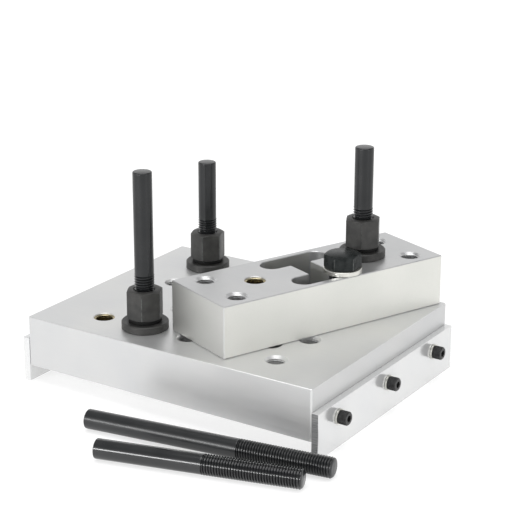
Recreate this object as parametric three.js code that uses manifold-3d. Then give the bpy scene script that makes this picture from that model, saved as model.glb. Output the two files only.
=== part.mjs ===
// Press fixture for ball joints: a drilled plate on two side rails, a slotted riser block clamped on it,
// and threaded pillars that carry the workpiece. Millimetres, +Z up. The origin is the centre of the
// plate's underside, X runs from rail to rail and Y from front to back.
import * as THREE from 'three';
import { mergeVertices } from 'three/addons/utils/BufferGeometryUtils.js';
import Module from 'manifold-3d';

const wasm = await Module();
wasm.setup();

// ---- driving dimensions ----
const PLATE = { width: 323, depth: 258, thickness: 50.8 };
const RAIL = { thickness: 7.2, height: 45.2, hang: 16.9 };
const GRID = { columns: 5, rows: 4, pitchX: 49.5, pitchY: 59 };
const BLOCK = { length: 258, width: 89, height: 50.8, turn: THREE.MathUtils.degToRad(67.67) };
const BLOCK_HOLES = { cornerInset: 26.4, centreInset: 65, rowInset: 18 };
const SLOT = { width: 23, armEnd: 91.2 };

const THREAD = { radius: 9.525, holeRadius: 9.7, insertBore: 9.6 };
const HOLE_CHAMFER = 1.2;
const STUD = { shankRadius: 9.25, threadLength: 92, chamfer: 1.8 };
const STUD_LENGTH = { long: 245, medium: 192, short: 152 };
const PILLAR_DEPTH = { plate: 37, block: 41.5 };
const HEX_TURN = { front: 27, rear: 17, block: 18, bolt: 4 };
const NUT = { acrossFlats: 31.75, bore: 9.7, collarRadius: 15.5, hexBase: 10.8, top: 39.4 };
const SEAT = { radius: 22.7, bore: 10.4, height: 7.5, coneRadius: 15.9, coneFloor: 4.3 };
const BALL = { radius: 27, centre: 29.57 };

const BOLT = { acrossFlats: 31.75, headHeight: 14, length: 88.9, blockU: 148.5 };
const CLAMP_WASHER = { radius: 18.6, bore: 10.2, thickness: 4.4 };
const SCREW = { headRadius: 6.5, headHeight: 8.5, shankRadius: 4, length: 25, socketFlats: 6, socketDepth: 4 };
const SPRING_WASHER = { radius: 7.4, bore: 4.2, thickness: 2.1, split: 1.1 };
const SCREW_ROW = { z: 13.8, pitch: 91.5, offset: -2 };
const INSERT = { radius: 10.2, length: 32 };

const GAP = 0.05;
const HOLE_SEGMENTS = 20;
const ROUND_SEGMENTS = 28;
const SMALL_SEGMENTS = 16;
const EXTRA = 1;

// ---- materials ----
const material = (color, roughness, metalness) => new THREE.MeshStandardMaterial({ color, roughness, metalness });
const aluminium = material(0xc9cacb, 0.45, 0.9);
const railAluminium = material(0xdadcdc, 0.3, 0.9);
const blackSteel = material(0x2c2e30, 0.45, 0.6);
const nutSteel = material(0x3c3b39, 0.55, 0.6);
const boltSteel = material(0x2b302f, 0.4, 0.6);
const brightSteel = material(0xc4c4be, 0.3, 0.95);
const goldSteel = material(0x9c8350, 0.4, 0.9);

// ---- geometry helpers ----
function toSolid(geometry) {
  const bare = geometry.clone();
  bare.deleteAttribute('normal');
  bare.deleteAttribute('uv');
  const merged = mergeVertices(bare, 1e-4);
  return new wasm.Manifold(new wasm.Mesh({
    numProp: 3,
    vertProperties: new Float32Array(merged.attributes.position.array),
    triVerts: new Uint32Array(merged.index.array),
  }));
}

function toGeometry(solid) {
  const { vertProperties, triVerts } = solid.getMesh();
  const geometry = new THREE.BufferGeometry();
  geometry.setAttribute('position', new THREE.BufferAttribute(new Float32Array(vertProperties), 3));
  geometry.setIndex(new THREE.BufferAttribute(new Uint32Array(triVerts), 1));
  geometry.computeVertexNormals();
  return geometry;
}

// A turned shape: its profile is a list of [radius, height] pairs, and its axis is Z.
function turned(profile, segments = ROUND_SEGMENTS) {
  const points = profile.map(([radius, height]) => new THREE.Vector2(radius, height));
  return new THREE.LatheGeometry(points, segments).rotateX(Math.PI / 2);
}

function rod(radius, z0, z1, segments = HOLE_SEGMENTS) {
  return turned([[0, z0], [radius, z0], [radius, z1], [0, z1]], segments);
}

function ring(bore, radius, z0, z1, segments = HOLE_SEGMENTS) {
  return turned([[bore, z0], [radius, z0], [radius, z1], [bore, z1], [bore, z0]], segments);
}

function hexPrism(acrossFlats, z0, z1) {
  return turned([[0, z0], [acrossFlats / Math.sqrt(3), z0], [acrossFlats / Math.sqrt(3), z1], [0, z1]], 6);
}

function box(width, depth, height, x, y, z) {
  return new THREE.BoxGeometry(width, depth, height).translate(x, y, z);
}

function subtractAll(solid, cutters) {
  return cutters.reduce((rest, cutter) => rest.subtract(toSolid(cutter)), solid);
}

function place(parent, name, geometry, look, x = 0, y = 0, z = 0) {
  const mesh = new THREE.Mesh(geometry, look);
  mesh.name = name;
  mesh.position.set(x, y, z);
  parent.add(mesh);
  return mesh;
}

// The cutter for a tapped hole from z = 0 up to the top face, with a chamfered mouth.
function tappedHole(x, y, thickness, radius = THREAD.holeRadius) {
  const mouth = THREAD.holeRadius + HOLE_CHAMFER;
  return turned([
    [0, -EXTRA], [radius, -EXTRA], [radius, thickness - (mouth - radius)],
    [mouth, thickness], [mouth, thickness + EXTRA], [0, thickness + EXTRA],
  ], HOLE_SEGMENTS).translate(x, y, 0);
}

// ---- hole positions ----
function gridX(column) {
  return (column - (GRID.columns - 1) / 2) * GRID.pitchX;
}

function gridY(row) {
  return (row - (GRID.rows - 1) / 2) * GRID.pitchY;
}

const PILLAR_FRONT = { x: gridX(1), y: gridY(0) };
const PILLAR_REAR = { x: gridX(0), y: gridY(3) };
const BOLT_HOLE = { x: gridX(4), y: gridY(2) };
const INSERT_HOLE = { x: gridX(0), y: gridY(0) };

function plateHoles() {
  const holes = [];
  for (let column = 0; column < GRID.columns; column += 1) {
    for (let row = 0; row < GRID.rows; row += 1) holes.push([gridX(column), gridY(row)]);
  }
  for (const column of [0.5, 3.5]) {
    for (const row of [0.5, 2.5]) holes.push([gridX(column), gridY(row)]);
  }
  return holes;
}

// ---- base plate ----
function basePlate() {
  const { width, depth, thickness } = PLATE;
  const cutters = plateHoles().map(([x, y]) => {
    const lined = x === INSERT_HOLE.x && y === INSERT_HOLE.y;
    return tappedHole(x, y, thickness, lined ? INSERT.radius + GAP : THREAD.holeRadius);
  });
  const depthInPlate = SCREW.length - SPRING_WASHER.thickness - RAIL.thickness;
  for (const side of [-1, 1]) {
    for (const y of screwRow()) {
      const hole = rod(SCREW.shankRadius + 0.1, -EXTRA, depthInPlate + EXTRA, SMALL_SEGMENTS);
      hole.rotateY(-side * Math.PI / 2).translate(side * width / 2, y, SCREW_ROW.z);
      cutters.push(hole);
    }
  }
  return toGeometry(subtractAll(toSolid(box(width, depth, thickness, 0, 0, thickness / 2)), cutters));
}

// ---- side rails with their screws ----
function screwRow() {
  return [-1, 0, 1].map((step) => SCREW_ROW.offset + step * SCREW_ROW.pitch);
}

function railGeometry(side) {
  const centreX = side * (PLATE.width / 2 + GAP + RAIL.thickness / 2);
  const bar = toSolid(box(RAIL.thickness, PLATE.depth, RAIL.height, centreX, 0, RAIL.height / 2 - RAIL.hang));
  return toGeometry(subtractAll(bar, screwRow().map((y) => {
    const hole = rod(SCREW.shankRadius + 0.5, -RAIL.thickness, RAIL.thickness, SMALL_SEGMENTS);
    return hole.rotateY(Math.PI / 2).translate(centreX, y, SCREW_ROW.z);
  })));
}

// Fasteners are modelled along +Z from the rail's outer face, then turned to point outwards.
function springWasher() {
  const { bore, radius, thickness, split } = SPRING_WASHER;
  const cut = new THREE.BoxGeometry(radius, split, 3 * thickness).rotateX(Math.PI / 7);
  cut.translate((bore + radius) / 2, 0, thickness / 2);
  return toGeometry(subtractAll(toSolid(ring(bore, radius, 0, thickness, SMALL_SEGMENTS)), [cut]));
}

function capScrew() {
  const { headRadius, headHeight, shankRadius, length, socketFlats, socketDepth } = SCREW;
  const body = turned([
    [0, -length], [shankRadius - 0.6, -length], [shankRadius, -length + 0.8], [shankRadius, 0],
    [headRadius, 0], [headRadius, headHeight - 0.6], [headRadius - 0.6, headHeight], [0, headHeight],
  ], SMALL_SEGMENTS);
  return toGeometry(subtractAll(toSolid(body), [hexPrism(socketFlats, headHeight - socketDepth, headHeight + EXTRA)]));
}

function addRail(parent, side, label) {
  place(parent, `side_rail_${label}`, railGeometry(side), railAluminium);
  const face = PLATE.width / 2 + GAP + RAIL.thickness;
  const springZ = face + GAP;
  const screwZ = springZ + SPRING_WASHER.thickness + GAP;
  screwRow().forEach((y, index) => {
    const fastener = new THREE.Group();
    fastener.position.set(0, y, SCREW_ROW.z);
    fastener.rotation.y = side * Math.PI / 2;
    const suffix = `${label}_${index + 1}`;
    place(fastener, `spring_washer_${suffix}`, springWasher(), brightSteel, 0, 0, springZ);
    place(fastener, `cap_screw_${suffix}`, capScrew(), blackSteel, 0, 0, screwZ);
    parent.add(fastener);
  });
}

// ---- riser block: local x along its length, y across, z up, origin at a bottom corner ----
function slotCutters() {
  const { length, width, height } = BLOCK;
  const halfWidth = SLOT.width / 2;
  const armStart = SLOT.armEnd + halfWidth;
  const armStop = length - armStart;
  const rows = [BLOCK_HOLES.rowInset, width - BLOCK_HOLES.rowInset];
  const arms = rows.map((y) => {
    const outline = new THREE.Shape();
    outline.absarc(armStop, y, halfWidth, -Math.PI / 2, Math.PI / 2, false);
    outline.absarc(armStart, y, halfWidth, Math.PI / 2, 3 * Math.PI / 2, false);
    const arm = new THREE.ExtrudeGeometry(outline, { depth: height + 2 * EXTRA, bevelEnabled: false, curveSegments: 10 });
    return arm.translate(0, 0, -EXTRA);
  });
  const link = box(SLOT.width, rows[1] - rows[0], height + 2 * EXTRA, length / 2, width / 2, height / 2);
  return [...arms, link];
}

function blockHoles() {
  const { length, width } = BLOCK;
  const { cornerInset, centreInset, rowInset } = BLOCK_HOLES;
  const holes = [[centreInset, width / 2], [length - centreInset, width / 2]];
  for (const x of [cornerInset, length - cornerInset]) {
    for (const y of [rowInset, width - rowInset]) holes.push([x, y]);
  }
  return holes;
}

function riserBlock() {
  const { length, width, height } = BLOCK;
  const body = toSolid(box(length, width, height, length / 2, width / 2, height / 2));
  const cutters = blockHoles().map(([x, y], index) => (
    tappedHole(x, y, height, index === 0 ? INSERT.radius + GAP : THREAD.holeRadius)
  ));
  return toGeometry(subtractAll(body, [...slotCutters(), ...cutters]));
}

// ---- clamp bolt and washer, from the block's top face ----
function clampBolt() {
  const { acrossFlats, headHeight, length } = BOLT;
  const corner = acrossFlats / Math.sqrt(3);
  const { radius } = THREAD;
  const envelope = toSolid(turned([
    [0, -length], [radius - 1.6, -length], [radius, -length + 1.6], [radius, 0], [acrossFlats / 2 - 0.4, 0],
    [acrossFlats / 2 - 0.4, 0.6], [corner, 0.6], [corner, headHeight - 1.3], [acrossFlats / 2 - 0.6, headHeight],
    [0, headHeight],
  ]));
  return toGeometry(envelope.intersect(toSolid(hexPrism(acrossFlats, -length - EXTRA, headHeight + EXTRA))));
}

// ---- pillar: stud, nut and seat, from the face that they stand on ----
function studGeometry(length) {
  const { radius } = THREAD;
  const { shankRadius, threadLength, chamfer } = STUD;
  return turned([
    [0, 0], [radius - chamfer, 0], [radius, chamfer], [radius, threadLength - 0.6], [shankRadius, threadLength],
    [shankRadius, length - 1.2], [shankRadius - 1.2, length], [0, length],
  ]);
}

function nutGeometry() {
  const { acrossFlats, bore, collarRadius, hexBase, top } = NUT;
  const corner = acrossFlats / Math.sqrt(3);
  const ballHeight = (radius) => BALL.centre - Math.sqrt(BALL.radius ** 2 - radius ** 2);
  const ball = [bore, 11.5, 13.5, collarRadius].map((radius) => [radius, ballHeight(radius)]);
  const envelope = toSolid(turned([
    ...ball, [collarRadius, hexBase], [corner, hexBase], [corner, top - 1.5], [acrossFlats / 2 - 0.8, top],
    [bore + 1.2, top], [bore, top - 1.2], ball[0],
  ]));
  return toGeometry(envelope.intersect(toSolid(hexPrism(acrossFlats, 0, top + EXTRA))));
}

function seatGeometry() {
  const { radius, bore, height, coneRadius, coneFloor } = SEAT;
  return turned([
    [bore, 0], [radius - 0.4, 0], [radius, 0.4], [radius, height - 0.7], [radius - 0.7, height],
    [coneRadius, height], [bore, coneFloor], [bore, 0],
  ]);
}

function addPillar(parent, label, x, y, face, length, depth) {
  place(parent, `pillar_stud_${label}`, studGeometry(length), blackSteel, x, y, face - depth);
  const nut = place(parent, `pillar_nut_${label}`, nutGeometry(), nutSteel, x, y, face + GAP);
  nut.rotation.z = THREE.MathUtils.degToRad(HEX_TURN[label]);
  place(parent, `pillar_seat_${label}`, seatGeometry(), nutSteel, x, y, face + GAP);
}

// ---- spare studs lying on the floor, threaded end to the right ----
function addSpareStud(parent, label, length, x, y, angle) {
  const stud = place(parent, `spare_stud_${label}`, studGeometry(length).rotateY(-Math.PI / 2), blackSteel);
  stud.position.set(x, y, THREAD.radius - RAIL.hang);
  stud.rotation.z = THREE.MathUtils.degToRad(angle);
}

// ---- assembly ----
const fixture = new THREE.Group();
place(fixture, 'base_plate', basePlate(), aluminium);
addRail(fixture, 1, 'right');
addRail(fixture, -1, 'left');

const onPlate = PLATE.thickness;
const sleeve = ring(THREAD.insertBore, INSERT.radius, -INSERT.length, 0);
const insertTop = -(HOLE_CHAMFER + GAP);
place(fixture, 'thread_insert_plate', sleeve, goldSteel, INSERT_HOLE.x, INSERT_HOLE.y, onPlate + insertTop);
addPillar(fixture, 'front', PILLAR_FRONT.x, PILLAR_FRONT.y, onPlate, STUD_LENGTH.medium, PILLAR_DEPTH.plate);
addPillar(fixture, 'rear', PILLAR_REAR.x, PILLAR_REAR.y, onPlate, STUD_LENGTH.short, PILLAR_DEPTH.plate);

const block = new THREE.Group();
const lengthwise = new THREE.Vector2(Math.cos(BLOCK.turn), Math.sin(BLOCK.turn));
const crosswise = new THREE.Vector2(-lengthwise.y, lengthwise.x);
block.position.set(
  BOLT_HOLE.x - lengthwise.x * BOLT.blockU - crosswise.x * BLOCK_HOLES.rowInset,
  BOLT_HOLE.y - lengthwise.y * BOLT.blockU - crosswise.y * BLOCK_HOLES.rowInset,
  onPlate + GAP,
);
block.rotation.z = BLOCK.turn;
fixture.add(block);
place(block, 'riser_block', riserBlock(), aluminium);
const [linedHole, pillarHole] = blockHoles();
place(block, 'thread_insert_block', sleeve.clone(), goldSteel, ...linedHole, BLOCK.height + insertTop);
addPillar(block, 'block', ...pillarHole, BLOCK.height, STUD_LENGTH.short, PILLAR_DEPTH.block);

const clampZ = onPlate + GAP + BLOCK.height + GAP;
const { radius: washerRadius, bore: washerBore, thickness: washerThickness } = CLAMP_WASHER;
place(fixture, 'clamp_washer', ring(washerBore, washerRadius, 0, washerThickness, ROUND_SEGMENTS), brightSteel,
  BOLT_HOLE.x, BOLT_HOLE.y, clampZ);
const boltZ = clampZ + washerThickness + GAP;
const bolt = place(fixture, 'clamp_bolt', clampBolt(), boltSteel, BOLT_HOLE.x, BOLT_HOLE.y, boltZ);
bolt.rotation.z = THREE.MathUtils.degToRad(HEX_TURN.bolt);

addSpareStud(fixture, 'long', STUD_LENGTH.long, 197, -148.3, 8.5);
addSpareStud(fixture, 'medium', STUD_LENGTH.medium, 185.7, -180.5, 15);

export default fixture;
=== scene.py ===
# Press fixture for ball joints: a thick aluminium plate with tapped holes on two side rails, a slotted
# riser block clamped on top of it, black threaded pillars that carry the work, and two spare pillars.
import math

import bmesh
import bpy
from mathutils import Matrix, Quaternion, Vector


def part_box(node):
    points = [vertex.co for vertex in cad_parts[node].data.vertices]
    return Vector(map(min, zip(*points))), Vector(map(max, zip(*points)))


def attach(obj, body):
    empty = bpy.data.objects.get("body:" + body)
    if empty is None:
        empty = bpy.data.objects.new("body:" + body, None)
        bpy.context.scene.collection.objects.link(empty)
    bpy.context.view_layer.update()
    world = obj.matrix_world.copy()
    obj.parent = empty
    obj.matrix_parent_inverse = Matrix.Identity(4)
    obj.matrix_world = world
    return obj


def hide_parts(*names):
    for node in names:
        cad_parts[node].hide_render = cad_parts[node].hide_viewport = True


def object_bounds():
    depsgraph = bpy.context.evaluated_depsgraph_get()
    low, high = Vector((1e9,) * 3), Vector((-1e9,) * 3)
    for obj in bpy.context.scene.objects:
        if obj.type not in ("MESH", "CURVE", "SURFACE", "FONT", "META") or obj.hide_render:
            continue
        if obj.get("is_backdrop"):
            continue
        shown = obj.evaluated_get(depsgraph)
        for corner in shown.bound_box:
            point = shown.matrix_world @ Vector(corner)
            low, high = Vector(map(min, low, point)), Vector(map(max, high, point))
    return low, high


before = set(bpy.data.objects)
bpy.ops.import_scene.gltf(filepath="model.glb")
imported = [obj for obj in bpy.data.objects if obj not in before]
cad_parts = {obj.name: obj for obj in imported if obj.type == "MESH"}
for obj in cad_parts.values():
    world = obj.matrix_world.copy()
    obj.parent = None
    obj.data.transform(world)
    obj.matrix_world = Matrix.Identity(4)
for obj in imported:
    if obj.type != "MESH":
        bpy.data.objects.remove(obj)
cad_low, cad_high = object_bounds()
scene = bpy.context.scene

# ---- Camera, floor and studio ----
# A long lens looks down on the fixture from the front right. The floor is plain white card, lit from
# below too. One wide soft light is overhead, a low strip light stands in front and a soft box stands on
# the right, in a room with white walls and a grey ceiling.
CAMERA_PLACE = Vector((0.84798, -1.27508, 0.63374))
CAMERA_TARGET = Vector((-0.0710, 0.1418, 0.0508))
CAMERA_LENS = 116.22
CAMERA_ROLL = math.radians(0.145)
camera = bpy.data.objects.new("camera", bpy.data.cameras.new("camera"))
camera.data.lens = CAMERA_LENS
camera.data.sensor_width = 36
camera.location = CAMERA_PLACE
camera.rotation_mode = "QUATERNION"
aim = (CAMERA_TARGET - CAMERA_PLACE).to_track_quat("-Z", "Y")
camera.rotation_quaternion = aim @ Quaternion((0, 0, 1), CAMERA_ROLL)
scene.collection.objects.link(camera)
scene.camera = camera
scene.view_settings.view_transform = "Standard"

FLOOR_SPAN = 8.0
floor_mesh = bmesh.new()
bmesh.ops.create_grid(floor_mesh, x_segments=1, y_segments=1, size=FLOOR_SPAN)
bmesh.ops.translate(floor_mesh, verts=floor_mesh.verts, vec=(0, 0, cad_low.z - 0.0001))
floor = bpy.data.objects.new("floor", bpy.data.meshes.new("floor"))
floor_mesh.to_mesh(floor.data)
scene.collection.objects.link(floor)
card = bpy.data.materials.new("white_card")
card.use_nodes = True
card_shader = card.node_tree.nodes["Principled BSDF"]
card_shader.inputs["Base Color"].default_value = (0.42, 0.42, 0.42, 1)
card_shader.inputs["Roughness"].default_value = 0.9
card_shader.inputs["Specular IOR Level"].default_value = 0.1
card_shader.inputs["Emission Color"].default_value = (1, 1, 1, 1)
card_shader.inputs["Emission Strength"].default_value = 0.65
floor.data.materials.append(card)
floor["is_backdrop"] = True

room = bpy.data.worlds.new("room")
scene.world = room
room.use_nodes = True
room_nodes = room.node_tree.nodes
room_links = room.node_tree.links
direction = room_nodes.new("ShaderNodeTexCoord")
split = room_nodes.new("ShaderNodeSeparateXYZ")
walls = room_nodes.new("ShaderNodeValToRGB")
walls.color_ramp.elements[0].position = 0.0
walls.color_ramp.elements[0].color = (1, 1, 1, 1)
walls.color_ramp.elements[1].position = 1.0
walls.color_ramp.elements[1].color = (0.36, 0.365, 0.37, 1)
for height, grey in ((0.42, 0.97), (0.60, 0.42)):
    stop = walls.color_ramp.elements.new(height)
    stop.color = (grey, grey, grey, 1)
room_links.new(direction.outputs["Generated"], split.inputs["Vector"])
room_links.new(split.outputs["Z"], walls.inputs["Fac"])
room_links.new(walls.outputs["Color"], room_nodes["Background"].inputs["Color"])
room_nodes["Background"].inputs["Strength"].default_value = 1.06

overhead = bpy.data.objects.new("overhead_box", bpy.data.lights.new("overhead_box", "SUN"))
overhead.data.energy = 1.5
overhead.data.angle = math.radians(50)
scene.collection.objects.link(overhead)

LIGHT_REACH = 2.4
for name, azimuth, height, width, depth, power in (
    ("front_strip", -13, 0.64, 1.9, 0.26, 28),
    ("right_box", 80, 0.55, 0.9, 0.5, 7),
):
    box = bpy.data.objects.new(name, bpy.data.lights.new(name, "AREA"))
    box.data.shape = "RECTANGLE"
    box.data.size = width
    box.data.size_y = depth
    box.data.energy = power
    turn = math.radians(azimuth)
    box.location = (LIGHT_REACH * math.sin(turn), -LIGHT_REACH * math.cos(turn), height)
    box.rotation_euler = (-box.location).to_track_quat("-Z", "Y").to_euler()
    scene.collection.objects.link(box)

# ---- Base plate ----
# A sawn and milled aluminium slab, two inches thick, with deburred edges; its upright sides are painted
# darker than its top, as painted shade. A grid of through holes is drilled, countersunk at both mouths and
# tapped three-quarter inch, ten threads to the inch.
MM = 0.001
PITCH = 2.54
THREAD_MAJOR = 9.6
THREAD_MINOR = 8.25
HOLE_MOUTH = 10.9
PLAIN_BORE = 9.7
EDGE = 0.5
PLATE_CORNER_EDGE = 1.3
LINED_BORE = 10.25
GRID_PITCH_X = 49.5
GRID_PITCH_Y = 59.0
HOLE_STEPS = 36
SCREW_HOLE = 4.1
SCREW_DEPTH = 16.0
PATTERN_RANGE = (0.3, 0.7)
plate_low, plate_high = (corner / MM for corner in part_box("base_plate"))


def repeated(shape, places):
    """One mesh with a copy of the shape at each place."""
    pattern = bpy.data.meshes.new("pattern")
    shape.to_mesh(pattern)
    copies = bmesh.new()
    for place in places:
        made = len(copies.verts)
        copies.from_mesh(pattern)
        copies.verts.ensure_lookup_table()
        bmesh.ops.translate(copies, verts=copies.verts[made:], vec=place)
    return copies


def lathe(profile, steps=64):
    """Turns a profile of (radius, height) points about Z. It starts and ends on the axis, or closes."""
    shape = bmesh.new()
    points = [shape.verts.new((radius, 0, height)) for radius, height in profile]
    path = points if profile[0][0] == 0 else points + points[:1]
    edges = [shape.edges.new(pair) for pair in zip(path, path[1:])]
    bmesh.ops.spin(shape, geom=points + edges, axis=(0, 0, 1), angle=math.tau, steps=steps, use_merge=True)
    bmesh.ops.remove_doubles(shape, verts=shape.verts, dist=1e-4)
    bmesh.ops.recalc_face_normals(shape, faces=shape.faces)
    return shape


def screw_thread(crest, root, low, high, pitch=PITCH, steps=HOLE_STEPS):
    """A right-hand thread as a solid bar along Z, cut square at both ends."""
    turn = bmesh.new()
    form = ((root, 0), (crest, 0.3125), (crest, 0.4375), (root, 0.75), (root, 1))
    points = [turn.verts.new((radius, 0, share * pitch)) for radius, share in form]
    edges = [turn.edges.new(pair) for pair in zip(points, points[1:])]
    climb = (0, 0, pitch / steps)
    bmesh.ops.spin(turn, geom=points + edges, axis=(0, 0, 1), dvec=climb, angle=math.tau, steps=steps)
    turns = range(math.floor(low / pitch) - 1, math.ceil(high / pitch) + 1)
    shape = repeated(turn, [(0, 0, number * pitch) for number in turns])
    bmesh.ops.remove_doubles(shape, verts=shape.verts, dist=1e-3)
    for height, way in ((low, -1), (high, 1)):
        everything = shape.verts[:] + shape.edges[:] + shape.faces[:]
        bmesh.ops.bisect_plane(shape, geom=everything, dist=1e-5, plane_co=(0, 0, height),
                               plane_no=(0, 0, way), clear_outer=True)
    bmesh.ops.holes_fill(shape, edges=[edge for edge in shape.edges if edge.is_boundary], sides=0)
    bmesh.ops.recalc_face_normals(shape, faces=shape.faces)
    return shape


def stock(name, shape):
    """A new object from a bmesh, in millimetres until it is finished."""
    piece = bpy.data.objects.new(name, bpy.data.meshes.new(name))
    shape.to_mesh(piece.data)
    scene.collection.objects.link(piece)
    return piece


def machine(piece, tool, operation="DIFFERENCE"):
    """Cuts the tool out of a piece, adds it, or keeps only what lies inside it."""
    cutter = stock("cutter", tool)
    step = piece.modifiers.new("machine", "BOOLEAN")
    step.object = cutter
    step.operation = operation
    step.solver = "MANIFOLD"
    depsgraph = bpy.context.evaluated_depsgraph_get()
    machined = bpy.data.meshes.new_from_object(piece.evaluated_get(depsgraph))
    piece.modifiers.clear()
    piece.data = machined
    bpy.data.objects.remove(cutter)


def copy_of(pattern, name):
    """Another piece of the same shape."""
    piece = bpy.data.objects.new(name, pattern.data.copy())
    scene.collection.objects.link(piece)
    return piece


def finished(piece, materials, place=Matrix(), crease=35):
    """Scales a machined piece to metres at its place, smooths its round faces and gives it its finish."""
    piece.data.transform(Matrix.Scale(MM, 4) @ place)
    piece.data.shade_smooth()
    piece.data.set_sharp_from_angle(angle=math.radians(crease))
    piece.data.materials.clear()
    for material in materials:
        piece.data.materials.append(material)


def break_edges(shape, edges, offset):
    """Bevels the chosen edges with one flat each."""
    bmesh.ops.bevel(shape, geom=edges, offset=offset, segments=1, profile=0.5, affect="EDGES", material=-1)


def upright_edges(shape):
    """The edges that stand up along Z."""
    return [edge for edge in shape.edges if abs(edge.verts[0].co.z - edge.verts[1].co.z) > 0.1]


def bar(low, high, edge=EDGE, upright_edge=0.0):
    """A rectangular bar between two corners, with its edges broken, the upright ones by their own amount."""
    shape = bmesh.new()
    bmesh.ops.create_cube(shape, size=1)
    bmesh.ops.scale(shape, verts=shape.verts, vec=high - low)
    bmesh.ops.translate(shape, verts=shape.verts, vec=(low + high) / 2)
    if upright_edge:
        break_edges(shape, upright_edges(shape), upright_edge)
    if edge:
        break_edges(shape, [side for side in shape.edges if side.calc_face_angle() > 1.0], edge)
    return shape


def rod(radius, low, high, steps=64):
    """A plain round rod along Z."""
    return lathe([(0, low), (radius, low), (radius, high), (0, high)], steps)


def hole_mouths(low, high, narrow=THREAD_MINOR - 0.2):
    """The countersinks of one through hole, at both faces."""
    depth = HOLE_MOUTH - narrow
    shape = lathe([
        (0, high - depth), (narrow, high - depth), (HOLE_MOUTH, high), (HOLE_MOUTH, high + 1), (0, high + 1),
    ])
    lower = lathe([
        (0, low - 1), (HOLE_MOUTH, low - 1), (HOLE_MOUTH, low), (narrow, low + depth), (0, low + depth),
    ])
    half = bpy.data.meshes.new("mouth")
    lower.to_mesh(half)
    shape.from_mesh(half)
    return shape


def finish_nodes(name, metallic):
    """A new material's shader with the object's own coordinates, for a finish that follows the stock."""
    material = bpy.data.materials.new(name)
    material.use_nodes = True
    tree = material.node_tree
    shader = tree.nodes["Principled BSDF"]
    shader.inputs["Metallic"].default_value = metallic
    place = tree.nodes.new("ShaderNodeTexCoord").outputs["Object"]
    return material, tree, shader, place


def noise(tree, place, scale, stretch=(1, 1, 1), turn=0.0, detail=3.0):
    """A noise pattern on the piece, stretched and turned about Z."""
    mapping = tree.nodes.new("ShaderNodeMapping")
    mapping.inputs["Rotation"].default_value = (0, 0, turn)
    mapping.inputs["Scale"].default_value = stretch
    texture = tree.nodes.new("ShaderNodeTexNoise")
    texture.inputs["Scale"].default_value = scale
    texture.inputs["Detail"].default_value = detail
    tree.links.new(place, mapping.inputs["Vector"])
    tree.links.new(mapping.outputs["Vector"], texture.inputs["Vector"])
    return texture.outputs["Fac"]


def tint(tree, shader, amount, low, high):
    """Colours the shader in shades between two colours, where a pattern's amount is least and most."""
    ramp = tree.nodes.new("ShaderNodeValToRGB")
    for stop, place, shade in zip(ramp.color_ramp.elements, PATTERN_RANGE, (low, high)):
        stop.position = place
        stop.color = (*shade, 1)
    tree.links.new(amount, ramp.inputs["Fac"])
    tree.links.new(ramp.outputs["Color"], shader.inputs["Base Color"])


def gloss(tree, shader, amount, low, high):
    """Makes the shader's roughness vary with a pattern's amount, from low to high."""
    scale = tree.nodes.new("ShaderNodeMapRange")
    scale.inputs["From Min"].default_value = PATTERN_RANGE[0]
    scale.inputs["From Max"].default_value = PATTERN_RANGE[1]
    scale.inputs["To Min"].default_value = low
    scale.inputs["To Max"].default_value = high
    tree.links.new(amount, scale.inputs["Value"])
    tree.links.new(scale.outputs["Result"], shader.inputs["Roughness"])


def relief(tree, shader, amount, height, strength=1.0):
    """Adds a bump of that height, in metres, to the shader."""
    bump = tree.nodes.new("ShaderNodeBump")
    bump.inputs["Distance"].default_value = height
    bump.inputs["Strength"].default_value = strength
    tree.links.new(amount, bump.inputs["Height"])
    tree.links.new(bump.outputs["Normal"], shader.inputs["Normal"])


def milled_aluminium(name, turn, dull, light, roughness=0.36):
    """Bare aluminium with a fine even milled grain along the bar and faint cloudy handling marks."""
    material, tree, shader, place = finish_nodes(name, metallic=0.82)
    clouds = noise(tree, place, 16, turn=turn)
    strokes = noise(tree, place, 1, stretch=(30, 700, 700), turn=turn, detail=4)
    tint(tree, shader, clouds, dull, light)
    gloss(tree, shader, strokes, roughness, roughness + 0.07)
    relief(tree, shader, strokes, 0.000006, 0.4)
    return material


def upright_faces(piece):
    """The broad upright faces of a finished piece."""
    return [face for face in piece.data.polygons if abs(face.normal.z) < 0.1 and face.area > 1e-3]


plate_top = milled_aluminium("plate_top_aluminium", 0.0, (0.675, 0.68, 0.685), (0.72, 0.72, 0.71))
# The upright sides take a darker copy of the same aluminium: painted shade.
plate_side_painted_shade = milled_aluminium("plate_side_aluminium_painted_shade", 0.0, (0.57, 0.575, 0.58), (0.61, 0.61, 0.605))

grid = [(column - 2, row - 1.5) for column in range(5) for row in range(4)]
grid += [(column, row) for column in (-1.5, 1.5) for row in (-1, 1)]
grid_places = [(column * GRID_PITCH_X, row * GRID_PITCH_Y, 0) for column, row in grid]


def centre_of(node):
    """Where a node's box is centred, in millimetres."""
    low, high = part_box(node)
    return (low + high) / 2 / MM


def sideways(side, place, way):
    """Turns a shape from Z to lie along X, outward or inward, at a screw's place in a side of the plate."""
    start = Matrix.Translation((side * plate_high.x, place.y, place.z))
    return start @ Matrix.Rotation(way * math.pi / 2, 4, "Y")


def used_by(place, *nodes):
    """Whether one of the nodes stands over that place."""
    return any((centre_of(node).xy - Vector(place).xy).length < 1 for node in nodes)


plain_nodes = ("pillar_stud_front", "pillar_stud_rear", "clamp_bolt")
stud_places = [place for place in grid_places if used_by(place, *plain_nodes)]
lined_places = [place for place in grid_places if used_by(place, "thread_insert_plate")]
open_places = [place for place in grid_places if place not in stud_places + lined_places]

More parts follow.
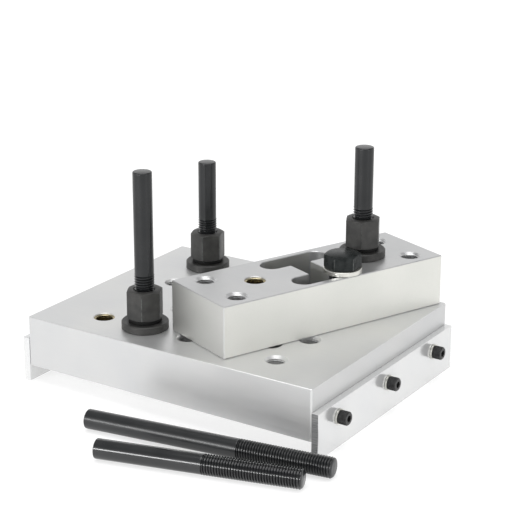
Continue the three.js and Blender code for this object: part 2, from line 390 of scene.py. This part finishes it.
plate = stock("base_plate_milled", bar(plate_low, plate_high, EDGE, PLATE_CORNER_EDGE))
machine(plate, repeated(hole_mouths(plate_low.z, plate_high.z), open_places))
tap = screw_thread(THREAD_MAJOR, THREAD_MINOR, plate_low.z - 1, plate_high.z + 1)
machine(plate, repeated(tap, open_places))
for radius, places in ((PLAIN_BORE, stud_places), (LINED_BORE, lined_places)):
    machine(plate, repeated(hole_mouths(plate_low.z, plate_high.z, radius - 0.1), places))
    machine(plate, repeated(rod(radius, plate_low.z - 1, plate_high.z + 1), places))
for side, label in ((-1, "left"), (1, "right")):
    for row in (1, 2, 3):
        screw = centre_of(f"cap_screw_{label}_{row}")
        drill = lathe([(0, -1), (SCREW_HOLE, -1), (SCREW_HOLE, SCREW_DEPTH), (0, SCREW_DEPTH + 2)], steps=32)
        bmesh.ops.transform(drill, matrix=sideways(side, screw, -side), verts=drill.verts)
        machine(plate, drill)
finished(plate, [plate_top, plate_side_painted_shade])
# The broad upright faces get the painted shade of the sides.
for face in upright_faces(plate):
    face.material_index = 1
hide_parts("base_plate")
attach(plate, "base")

# ---- Thread insert in the plate ----
# A yellow passivated sleeve, threaded inside, pressed in just below the countersink of the front left hole.
INSERT_RADIUS = 10.2
INSERT_MAJOR = 9.5
insert_metal, tree, shader, place = finish_nodes("yellow_passivated_steel", metallic=1.0)
stain = noise(tree, place, 260)
tint(tree, shader, stain, (0.30, 0.255, 0.15), (0.54, 0.48, 0.32))
shader.inputs["Roughness"].default_value = 0.26


def thread_insert(node):
    """A sleeve in a node's box, with its thread cut inside."""
    low, high = (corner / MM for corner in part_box(node))
    top = high.z
    bottom = low.z
    centre = centre_of(node)
    sleeve = stock(f"{node}_threaded", lathe([
        (THREAD_MINOR, bottom), (INSERT_RADIUS, bottom), (INSERT_RADIUS, top), (THREAD_MINOR + 0.6, top),
        (THREAD_MINOR, top - 0.6),
    ]))
    machine(sleeve, screw_thread(INSERT_MAJOR, THREAD_MINOR - 0.3, bottom - 1, top + 1))
    finished(sleeve, [insert_metal], Matrix.Translation((centre.x, centre.y, 0)))
    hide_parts(node)
    return sleeve


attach(thread_insert("thread_insert_plate"), "base")

# ---- Side rails ----
# Flat bars of bright drawn aluminium, one on each side of the plate. The right one's end faces are coloured
# dark grey. They hang below the plate so that the fixture stands on them and straddles the press bed.
RAIL_BORE = 4.5
RAIL_EDGE = 0.35
rail_aluminium, tree, shader, place = finish_nodes("drawn_aluminium", metallic=0.55)
drawn = noise(tree, place, 1, stretch=(900, 14, 900), detail=4)
film = noise(tree, place, 22)
tint(tree, shader, film, (0.695, 0.70, 0.705), (0.73, 0.73, 0.725))
gloss(tree, shader, drawn, 0.15, 0.22)
relief(tree, shader, drawn, 0.000006, 0.4)

# A dark grey aluminium with a fine streaked bump, for the right rail's end faces.
rail_end_dark_aluminium, tree, shader, place = finish_nodes("rail_end_dark_aluminium", metallic=1.0)
end_streaks = noise(tree, place, 1, stretch=(120, 120, 2600), detail=3)
tint(tree, shader, end_streaks, (0.16, 0.165, 0.17), (0.37, 0.37, 0.37))
gloss(tree, shader, end_streaks, 0.45, 0.6)
relief(tree, shader, end_streaks, 0.00008, 0.8)

for side, label in ((-1, "left"), (1, "right")):
    node = f"side_rail_{label}"
    low, high = (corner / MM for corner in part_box(node))
    rail = stock(f"{node}_drawn", bar(low, high, RAIL_EDGE))
    for row in (1, 2, 3):
        screw = centre_of(f"cap_screw_{label}_{row}")
        drill = rod(RAIL_BORE, -20, 20, steps=32)
        bmesh.ops.transform(drill, matrix=sideways(side, screw, 1), verts=drill.verts)
        machine(rail, drill)
    finished(rail, [rail_aluminium, rail_end_dark_aluminium])
    # The right rail's end faces take the dark grey.
    for face in rail.data.polygons:
        face.material_index = 1 if side > 0 and abs(face.normal.y) > 0.9 and face.area > 1e-4 else 0
    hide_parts(node)
    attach(rail, "base")

# ---- Rail fasteners ----
# Three socket head cap screws hold each rail: black oxide heads with a straight knurl, each over a zinc
# plated split spring washer.
SCREW_HEAD = 6.5
SCREW_HEAD_HEIGHT = 8.5
SCREW_SHANK = 4.0
SCREW_ROOT = 3.35
SCREW_THREAD = 16.0
SCREW_LENGTH = 25.0
SCREW_PITCH = 1.25
SOCKET_FLATS = 6.0
SOCKET_DEPTH = 4.0
SPRING_BORE = 4.2
SPRING_RADIUS = 7.4
SPRING_THICKNESS = 2.1
KNURLS = 44
KNURL_DEPTH = 0.32
zinc, tree, shader, place = finish_nodes("zinc_plate", metallic=1.0)
bloom = noise(tree, place, 160)
tint(tree, shader, bloom, (0.60, 0.60, 0.56), (0.74, 0.73, 0.68))
gloss(tree, shader, bloom, 0.30, 0.38)

screw_black, tree, shader, place = finish_nodes("screw_black_oxide", metallic=0.35)
wear = noise(tree, place, 500)
tint(tree, shader, wear, (0.014, 0.014, 0.015), (0.042, 0.042, 0.042))
gloss(tree, shader, wear, 0.32, 0.48)


def prism(across_flats, low, high, edge=0.0):
    """A hexagon bar along Z, with its six long edges broken."""
    shape = bmesh.new()
    made = bmesh.ops.create_circle(shape, cap_ends=True, segments=6, radius=across_flats / math.sqrt(3))
    bmesh.ops.translate(shape, verts=made["verts"], vec=(0, 0, low))
    grown = bmesh.ops.extrude_face_region(shape, geom=shape.faces[:])
    raised = [item for item in grown["geom"] if isinstance(item, bmesh.types.BMVert)]
    bmesh.ops.translate(shape, verts=raised, vec=(0, 0, high - low))
    if edge:
        break_edges(shape, upright_edges(shape), edge)
    bmesh.ops.recalc_face_normals(shape, faces=shape.faces)
    return shape


def knurled_bar(radius, low, high):
    """A bar along Z with straight knurling round it."""
    shape = bmesh.new()
    made = bmesh.ops.create_circle(shape, cap_ends=True, segments=2 * KNURLS, radius=radius)
    for valley in made["verts"][::2]:
        valley.co *= (radius - KNURL_DEPTH) / radius
    bmesh.ops.translate(shape, verts=made["verts"], vec=(0, 0, low))
    grown = bmesh.ops.extrude_face_region(shape, geom=shape.faces[:])
    raised = [item for item in grown["geom"] if isinstance(item, bmesh.types.BMVert)]
    bmesh.ops.translate(shape, verts=raised, vec=(0, 0, high - low))
    bmesh.ops.recalc_face_normals(shape, faces=shape.faces)
    return shape


def cap_screw(name):
    """A socket head cap screw along Z, seated at height 0."""
    piece = stock(name, knurled_bar(SCREW_HEAD, -1, SCREW_HEAD_HEIGHT + 1))
    machine(piece, lathe([
        (0, 0), (SCREW_HEAD - 0.5, 0), (SCREW_HEAD, 0.4), (SCREW_HEAD, SCREW_HEAD_HEIGHT - 0.9),
        (SCREW_HEAD - 0.9, SCREW_HEAD_HEIGHT), (0, SCREW_HEAD_HEIGHT),
    ], steps=96), "INTERSECT")
    floor_height = SCREW_HEAD_HEIGHT - SOCKET_DEPTH
    machine(piece, prism(SOCKET_FLATS, floor_height, SCREW_HEAD_HEIGHT + 1))
    drill_point = [(0, floor_height - 1.2), (2.9, floor_height + 0.1), (0, floor_height + 0.1)]
    machine(piece, lathe(drill_point, steps=32))
    machine(piece, rod(SCREW_SHANK - 0.05, -SCREW_LENGTH + SCREW_THREAD, 0.5, steps=32), "UNION")
    thread_top = SCREW_THREAD + 1 - SCREW_LENGTH
    thread = screw_thread(SCREW_SHANK, SCREW_ROOT, -SCREW_LENGTH, thread_top, SCREW_PITCH, 24)
    shank = stock("shank", thread)
    machine(shank, lathe([
        (0, -SCREW_LENGTH), (SCREW_SHANK - 0.7, -SCREW_LENGTH), (SCREW_SHANK + 0.1, -SCREW_LENGTH + 0.8),
        (SCREW_SHANK + 0.1, 0), (0, 0),
    ], steps=32), "INTERSECT")
    threaded = bmesh.new()
    threaded.from_mesh(shank.data)
    machine(piece, threaded, "UNION")
    bpy.data.objects.remove(shank)
    return piece


def spring_washer(name, bore, radius, thickness):
    """A split ring along Z, sprung slightly open at its slanted split."""
    shape = bmesh.new()
    rise = 0.25
    low = rise / 2
    high = thickness - rise / 2
    corners = ((bore, low + 0.2), (bore + 0.2, low), (radius - 0.2, low), (radius, low + 0.2),
               (radius, high - 0.2), (radius - 0.2, high), (bore + 0.2, high), (bore, high - 0.2))
    points = [shape.verts.new((r, 0, z - rise / 2)) for r, z in corners]
    edges = [shape.edges.new(pair) for pair in zip(points, points[1:] + points[:1])]
    steps = 44
    bmesh.ops.spin(shape, geom=points + edges, axis=(0, 0, 1), dvec=(0, 0, rise / steps),
                   angle=math.radians(348), steps=steps)
    bmesh.ops.holes_fill(shape, edges=[edge for edge in shape.edges if edge.is_boundary], sides=0)
    bmesh.ops.recalc_face_normals(shape, faces=shape.faces)
    bmesh.ops.rotate(shape, verts=shape.verts, matrix=Matrix.Rotation(math.radians(60), 3, "Z"))
    return stock(name, shape)


def seated(side, node):
    """Turns a fastener from Z to point out of a side, with its height 0 at the node's inner face."""
    low, high = (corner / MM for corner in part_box(node))
    inner = high.x if side < 0 else low.x
    middle = (low + high) / 2
    return Matrix.Translation((inner, middle.y, middle.z)) @ Matrix.Rotation(side * math.pi / 2, 4, "Y")


spring_pattern = spring_washer("spring_washer", SPRING_BORE, SPRING_RADIUS, SPRING_THICKNESS)
screw_pattern = cap_screw("cap_screw")
for side, label in ((-1, "left"), (1, "right")):
    for row in (1, 2, 3):
        suffix = f"{label}_{row}"
        spring = copy_of(spring_pattern, f"spring_washer_{suffix}_split")
        finished(spring, [zinc], seated(side, f"spring_washer_{suffix}"))
        screw = copy_of(screw_pattern, f"cap_screw_{suffix}_knurled")
        head = seated(side, f"cap_screw_{suffix}") @ Matrix.Translation((0, 0, SCREW_LENGTH))
        finished(screw, [screw_black], head @ Matrix.Rotation(row * 0.9, 4, "Z"))
        for piece, node, metal in (
            (spring, "spring_washer", "bright_steel"),
            (screw, "cap_screw", "black_steel"),
        ):
            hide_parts(f"{node}_{suffix}")
            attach(piece, "base")
bpy.data.objects.remove(spring_pattern)
bpy.data.objects.remove(screw_pattern)

# ---- Riser block ----
# A second aluminium bar of the same thickness stands askew on the plate. Two slots joined by a bridge are
# milled through it for the clamp bolt, and it has six tapped holes of its own.
BLOCK_LENGTH = 258.0
BLOCK_WIDTH = 89.0
BLOCK_TURN = math.radians(67.67)
HOLE_INSET = 26.4
CENTRE_INSET = 65.0
ROW_INSET = 18.0
SLOT_WIDTH = 23.0
SLOT_END = 91.2
BLOCK_EDGE = 0.7
block_low, block_high = (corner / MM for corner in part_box("riser_block"))
BLOCK_HEIGHT = block_high.z - block_low.z
bolt_place = centre_of("clamp_bolt")
BOLT_ALONG = 148.5
block_turn = Matrix.Rotation(BLOCK_TURN, 4, "Z") @ Matrix.Translation((-BOLT_ALONG, -ROW_INSET, 0))
block_place = Matrix.Translation((bolt_place.x, bolt_place.y, block_low.z)) @ block_turn
block_rows = (ROW_INSET, BLOCK_WIDTH - ROW_INSET)


def slot_cutter(x0, x1, y):
    """A round-ended cutter path through the block from x0 to x1."""
    shape = rod(SLOT_WIDTH / 2, -1, BLOCK_HEIGHT + 1, steps=72)
    bmesh.ops.translate(shape, verts=shape.verts, vec=(0, y, 0))
    right = [v for v in shape.verts if v.co.x > 1e-3]
    bmesh.ops.translate(shape, verts=shape.verts, vec=(x0 + SLOT_WIDTH / 2, 0, 0))
    bmesh.ops.translate(shape, verts=right, vec=(x1 - x0 - SLOT_WIDTH, 0, 0))
    return shape


block_size = Vector((BLOCK_LENGTH, BLOCK_WIDTH, BLOCK_HEIGHT))
block = stock("riser_block_milled", bar(Vector((0, 0, 0)), block_size, 0))
for y in block_rows:
    machine(block, slot_cutter(SLOT_END, BLOCK_LENGTH - SLOT_END, y))
bridge_low = Vector((BLOCK_LENGTH / 2 - SLOT_WIDTH / 2, ROW_INSET, -1))
bridge_high = Vector((BLOCK_LENGTH / 2 + SLOT_WIDTH / 2, BLOCK_WIDTH - ROW_INSET, BLOCK_HEIGHT + 1))
machine(block, bar(bridge_low, bridge_high, 0))
rims = bmesh.new()
rims.from_mesh(block.data)
bmesh.ops.dissolve_limit(rims, angle_limit=0.01, verts=rims.verts, edges=rims.edges)
break_edges(rims, [edge for edge in rims.edges if edge.calc_face_angle(0) > 0.6], BLOCK_EDGE)
rims.to_mesh(block.data)

corner_holes = [(x, y, 0) for x in (HOLE_INSET, BLOCK_LENGTH - HOLE_INSET) for y in block_rows]
lined_hole = (CENTRE_INSET, BLOCK_WIDTH / 2, 0)
pillar_hole = (BLOCK_LENGTH - CENTRE_INSET, BLOCK_WIDTH / 2, 0)
machine(block, repeated(hole_mouths(0, BLOCK_HEIGHT), corner_holes))
machine(block, repeated(screw_thread(THREAD_MAJOR, THREAD_MINOR, -1, BLOCK_HEIGHT + 1), corner_holes))
for radius, hole in ((PLAIN_BORE, pillar_hole), (LINED_BORE, lined_hole)):
    machine(block, repeated(hole_mouths(0, BLOCK_HEIGHT, radius - 0.1), [hole]))
    machine(block, repeated(rod(radius, -1, BLOCK_HEIGHT + 1), [hole]))
# Lit and shaded copies of one aluminium: the top, and the ends with the slot walls, are painted darker than
# the long sides, as painted shade.
block_lit_and_shaded_finishes = [
    milled_aluminium("block_top_aluminium_painted_shade", -BLOCK_TURN, (0.55, 0.555, 0.56), (0.60, 0.60, 0.60), 0.32),
    milled_aluminium("block_side_aluminium", -BLOCK_TURN, (0.66, 0.665, 0.63), (0.705, 0.705, 0.67), 0.5),
    milled_aluminium("block_end_aluminium_painted_shade", -BLOCK_TURN, (0.545, 0.55, 0.525), (0.585, 0.585, 0.565)),
]
finished(block, block_lit_and_shaded_finishes, block_place)
# The long upright faces take the side copy; the ends and slot walls take the darker painted shade.
for face in upright_faces(block):
    face.material_index = 1 if face.area > 0.01 else 2
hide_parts("riser_block")
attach(block, "riser_block")
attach(thread_insert("thread_insert_block"), "riser_block")

# ---- Clamp bolt and washer ----
# One three-quarter inch hexagon bolt in black oxide goes down through the slot into the plate, over a
# thick bright washer. Its head has a washer face below and a chamfered top, with a painted highlight on its
# corners.
BOLT_FLATS = 31.75
BOLT_HEAD = 14.0
BOLT_LENGTH = 88.9
BOLT_THREAD = 46.0
BOLT_TURN = math.radians(4)
HEX_EDGE = 0.5
STUD_CREST = 9.525
STUD_ROOT = 8.15
SHAFT_STEPS = 56
WASHER_BORE = 10.2
WASHER_RADIUS = 18.6
WASHER_THICKNESS = 4.4
washer = stock("clamp_washer_turned", lathe([
    (WASHER_BORE, 0.4), (WASHER_BORE + 0.4, 0), (WASHER_RADIUS - 0.4, 0), (WASHER_RADIUS, 0.4),
    (WASHER_RADIUS, WASHER_THICKNESS - 0.4), (WASHER_RADIUS - 0.4, WASHER_THICKNESS),
    (WASHER_BORE + 0.4, WASHER_THICKNESS), (WASHER_BORE, WASHER_THICKNESS - 0.4),
], steps=96))
washer_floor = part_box("clamp_washer")[0].z / MM
finished(washer, [zinc], Matrix.Translation((bolt_place.x, bolt_place.y, washer_floor)))
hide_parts("clamp_washer")
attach(washer, "clamp_washer")

bolt_black, tree, shader, place = finish_nodes("bolt_black_oxide", metallic=0.1)
shader.inputs["IOR"].default_value = 1.2
blotch = noise(tree, place, 180)
grit = noise(tree, place, 1500, detail=2)
tint(tree, shader, blotch, (0.011, 0.013, 0.013), (0.026, 0.029, 0.029))
gloss(tree, shader, blotch, 0.24, 0.34)
relief(tree, shader, grit, 0.00003, 0.5)

# Painted highlight: a lighter, shinier black laid on the faces along the hex corners of the bolt and the
# nuts.
corner_highlight_black, tree, shader, place = finish_nodes("corner_highlight_black_oxide", metallic=0.7)
corner_glint_mottle = noise(tree, place, 300)
tint(tree, shader, corner_glint_mottle, (0.03, 0.032, 0.032), (0.11, 0.115, 0.11))
gloss(tree, shader, corner_glint_mottle, 0.28, 0.40)


def hexagon_head(name, across_flats, low, high, profile):
    """A hexagon bar turned down to a profile."""
    piece = stock(name, prism(across_flats, low - 1, high + 1, edge=HEX_EDGE))
    machine(piece, lathe(profile, steps=120), "INTERSECT")
    return piece


bolt_corner = BOLT_FLATS / math.sqrt(3)
bolt = hexagon_head("clamp_bolt_forged", BOLT_FLATS, 0, BOLT_HEAD, [
    (0, 0), (BOLT_FLATS / 2 - 0.5, 0), (BOLT_FLATS / 2 - 0.4, 0.6), (bolt_corner - 0.8, 0.6),
    (bolt_corner, 1.1), (bolt_corner, BOLT_HEAD - 1.5), (BOLT_FLATS / 2 - 0.9, BOLT_HEAD), (0, BOLT_HEAD),
])
machine(bolt, rod(STUD_CREST, -BOLT_LENGTH + BOLT_THREAD - 1, 0.4), "UNION")
thread = screw_thread(STUD_CREST, STUD_ROOT, -BOLT_LENGTH, -BOLT_LENGTH + BOLT_THREAD)
thread_bar = stock("thread_bar", thread)
machine(thread_bar, lathe([
    (0, -BOLT_LENGTH), (STUD_CREST - 1.6, -BOLT_LENGTH), (STUD_CREST, -BOLT_LENGTH + 1.6),
    (STUD_CREST, 0), (0, 0),
]), "INTERSECT")
threaded = bmesh.new()
threaded.from_mesh(thread_bar.data)
machine(bolt, threaded, "UNION")
bpy.data.objects.remove(thread_bar)
head_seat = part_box("clamp_bolt")[1].z / MM - BOLT_HEAD
head_place = Matrix.Translation((bolt_place.x, bolt_place.y, head_seat)) @ Matrix.Rotation(BOLT_TURN, 4, "Z")
finished(bolt, [bolt_black, corner_highlight_black], head_place)
# Faces along the hex corners get the painted highlight.
for face in bolt.data.polygons:
    across = (face.center.xy / MM - bolt_place.xy).length
    face.material_index = 1 if abs(face.normal.z) < 0.1 and across > bolt_corner - 2 * HEX_EDGE else 0
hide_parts("clamp_bolt")
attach(bolt, "clamp_bolt")

# ---- Pillars ----
# Each pillar is a black oxide stud, plain above and threaded below, locked in its hole by a tall nut with
# a painted highlight on its corners and a rounded foot painted near black as painted shade, which sits in
# the cone of a thick seat washer.
SHANK = 9.25
STUD_THREAD = 92.0
NUT_FLATS = 31.75
NUT_CORNER = NUT_FLATS / math.sqrt(3)
NUT_BORE = 9.7
NUT_COLLAR = 15.5
NUT_HEX_BASE = 10.8
NUT_TOP = 39.4
BALL_RADIUS = 27.0
BALL_CENTRE = 29.57
SEAT_RADIUS = 22.7
SEAT_BORE = 10.4
SEAT_HEIGHT = 7.5
CONE_RADIUS = 15.9
CONE_FLOOR = 4.3
NUT_TURNS = {"front": math.radians(27), "rear": math.radians(17), "block": BLOCK_TURN + math.radians(18)}


def blued_steel(name, smoothest, shine):
    """Blue-black oxide on turned steel, with slow drifts of sheen."""
    material, tree, shader, place = finish_nodes(name, metallic=0.15)
    drift = noise(tree, place, 40)
    fine = noise(tree, place, 1400, detail=2)
    tint(tree, shader, drift, (0.008, 0.009, 0.010), (0.014, 0.015, 0.016))
    gloss(tree, shader, drift, smoothest, smoothest + 0.05)
    shader.inputs["Specular IOR Level"].default_value = shine
    relief(tree, shader, fine, 0.000003, 0.3)
    return material


stud_black = blued_steel("stud_black_oxide", 0.20, 0.45)

nut_black, tree, shader, place = finish_nodes("nut_black_oxide", metallic=0.2)
blotch = noise(tree, place, 120)
grit = noise(tree, place, 1300, detail=3)
tint(tree, shader, blotch, (0.022, 0.022, 0.021), (0.042, 0.041, 0.039))
gloss(tree, shader, grit, 0.38, 0.55)
relief(tree, shader, grit, 0.00003, 0.5)


# Painted shade: the nut's rounded foot and collar, down in the seat's cone, are coloured near black for the
# shadow in the gap between nut and seat.
foot_painted_shade, tree, shader, place = finish_nodes("nut_foot_painted_shade", metallic=0.0)
foot_shade_mottle = noise(tree, place, 90)
tint(tree, shader, foot_shade_mottle, (0.003, 0.003, 0.003), (0.008, 0.008, 0.008))
gloss(tree, shader, foot_shade_mottle, 0.55, 0.7)
shader.inputs["Specular IOR Level"].default_value = 0.2


def stud(name, length):
    """A stud along Z from its threaded end at height 0 to its plain end."""
    piece = stock(name, screw_thread(STUD_CREST, STUD_ROOT, 0, STUD_THREAD, steps=SHAFT_STEPS))
    plain = [(0, STUD_THREAD - 2.2), (SHANK, STUD_THREAD - 1.2), (SHANK, length + 1), (0, length + 1)]
    machine(piece, lathe(plain, steps=SHAFT_STEPS), "UNION")
    rounding = [(SHANK - 1.2 + 1.2 * math.sin(a), length - 1.2 + 1.2 * math.cos(a))
                for a in (math.radians(step * 22.5) for step in (4, 3, 2, 1, 0))]
    machine(piece, lathe([
        (0, 0), (STUD_CREST - 2.6, 0), (STUD_CREST - 1.0, 0.7), (STUD_CREST, 2.0),
        (STUD_CREST, STUD_THREAD - 1.4), (SHANK, STUD_THREAD), *rounding, (0, length),
    ], steps=SHAFT_STEPS), "INTERSECT")
    return piece


def pillar_nut(name):
    """A tall nut along Z, with its rounded foot where a seat at height 0 holds it."""
    foot = [(radius, BALL_CENTRE - math.sqrt(BALL_RADIUS ** 2 - radius ** 2))
            for radius in (NUT_BORE, 11.0, 12.5, 14.0, NUT_COLLAR)]
    return hexagon_head(name, NUT_FLATS, 0, NUT_TOP, [
        *foot, (NUT_COLLAR, NUT_HEX_BASE), (NUT_FLATS / 2 - 0.2, NUT_HEX_BASE),
        (NUT_CORNER, NUT_HEX_BASE + 1.3), (NUT_CORNER, NUT_TOP - 1.9), (NUT_FLATS / 2 - 1.1, NUT_TOP),
        (NUT_BORE + 1.2, NUT_TOP),
        (NUT_BORE, NUT_TOP - 1.2),
    ])


def seat_washer(name):
    """A thick turned washer along Z with a conical seat in its top."""
    return stock(name, lathe([
        (SEAT_BORE, 0), (SEAT_RADIUS - 0.5, 0), (SEAT_RADIUS, 0.5), (SEAT_RADIUS, SEAT_HEIGHT - 0.9),
        (SEAT_RADIUS - 0.9, SEAT_HEIGHT), (CONE_RADIUS + 0.3, SEAT_HEIGHT), (CONE_RADIUS, SEAT_HEIGHT - 0.2),
        (SEAT_BORE, CONE_FLOOR),
    ], steps=96))


nut_pattern = pillar_nut("pillar_nut")
seat_pattern = seat_washer("pillar_seat")
for label in ("front", "rear", "block"):
    low, high = (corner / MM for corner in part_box(f"pillar_stud_{label}"))
    centre = centre_of(f"pillar_stud_{label}")
    seat_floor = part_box(f"pillar_seat_{label}")[0].z / MM
    column = stud(f"pillar_stud_{label}_turned", high.z - low.z)
    finished(column, [stud_black], Matrix.Translation((centre.x, centre.y, low.z)))
    standing = Matrix.Translation((centre.x, centre.y, seat_floor))
    nut = copy_of(nut_pattern, f"pillar_nut_{label}_turned")
    finished(nut, [nut_black, corner_highlight_black, foot_painted_shade], standing @ Matrix.Rotation(NUT_TURNS[label], 4, "Z"))
    for face in nut.data.polygons:
        across = (face.center.xy / MM - centre.xy).length
        # Faces below the hexagon get the painted shade of the foot.
        if face.center.z / MM < seat_floor + NUT_HEX_BASE - 0.2:
            face.material_index = 2
        # Faces along the hex corners get the painted highlight.
        elif abs(face.normal.z) < 0.1 and across > NUT_CORNER - 2 * HEX_EDGE:
            face.material_index = 1
    seat = copy_of(seat_pattern, f"pillar_seat_{label}_turned")
    finished(seat, [nut_black], standing)
    for piece, kind, metal in (
        (column, "stud", "black_steel"),
        (nut, "nut", "nut_steel"),
        (seat, "seat", "nut_steel"),
    ):
        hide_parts(f"pillar_{kind}_{label}")
        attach(piece, f"{label}_{kind}")
bpy.data.objects.remove(nut_pattern)
bpy.data.objects.remove(seat_pattern)

# ---- Spare studs ----
# Two more studs of other lengths lie loose in front, threaded ends to the right.
SPARES = {
    "long": (245.0, 197.0, -148.3, math.radians(8.5), 0.28, 0.65),
    "medium": (192.0, 185.7, -180.5, math.radians(15), 0.13, 0.80),
}
for label, (length, x, y, angle, smoothest, shine) in SPARES.items():
    node = f"spare_stud_{label}"
    spare = stud(f"{node}_turned", length)
    lying = Matrix.Translation((x, y, centre_of(node).z)) @ Matrix.Rotation(angle, 4, "Z")
    steel = blued_steel(f"{label}_stud_black_oxide", smoothest, shine)
    finished(spare, [steel], lying @ Matrix.Rotation(-math.pi / 2, 4, "Y"))
    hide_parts(node)
    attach(spare, node)

low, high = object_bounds()
